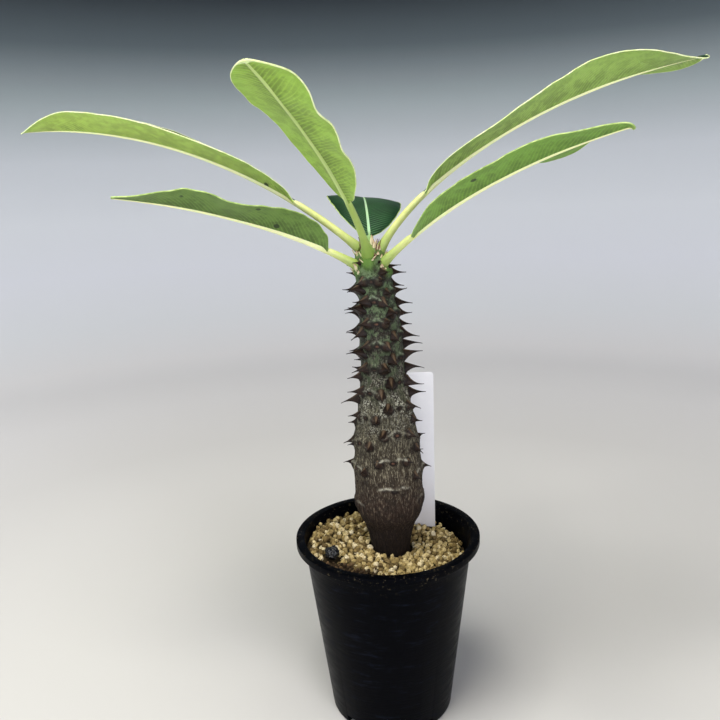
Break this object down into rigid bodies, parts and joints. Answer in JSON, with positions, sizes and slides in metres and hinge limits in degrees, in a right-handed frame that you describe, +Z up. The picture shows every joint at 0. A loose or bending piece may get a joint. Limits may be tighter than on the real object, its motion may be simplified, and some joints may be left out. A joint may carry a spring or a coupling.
{
  "type": "potted pachypodium baronii",
  "caption": "Young caudex succulent with a spiny grey stem and long arching leaves, in gritty soil in a round black nursery pot with a blank plant label.",
  "frame": {"origin": "centre of the pot's flat underside, on the surface that it stands on", "axes": "+Z up along the pot's axis; -Y is the side that faces the viewer; +X is the viewer's right"},
  "size_m": [0.2659, 0.2013, 0.2593],
  "materials": {
    "pot_plastic": "black moulded polypropylene with a soft sheen and scuffs",
    "soil_grit": "tan baked clay and pumice grit, dry and matte",
    "dark_stone": "blue-black rough lump",
    "label_plastic": "white plastic strip, satin",
    "stem_bark": "grey-green succulent bark with fine vertical cracks and brown spines",
    "leaf_green": "waxy leaf, glossy dark green above and matte pale green below"
  },
  "bodies": {
    "root": {"pot": "pot_plastic", "soil": "soil_grit", "black_stone": "dark_stone", "plant_label": "label_plastic", "stem": "stem_bark", "leaf_left_upper": "leaf_green", "leaf_left_lower": "leaf_green", "leaf_front": "leaf_green", "leaf_right_upper": "leaf_green", "leaf_right_lower": "leaf_green", "leaf_back": "leaf_green"}
  },
  "joints": []
}
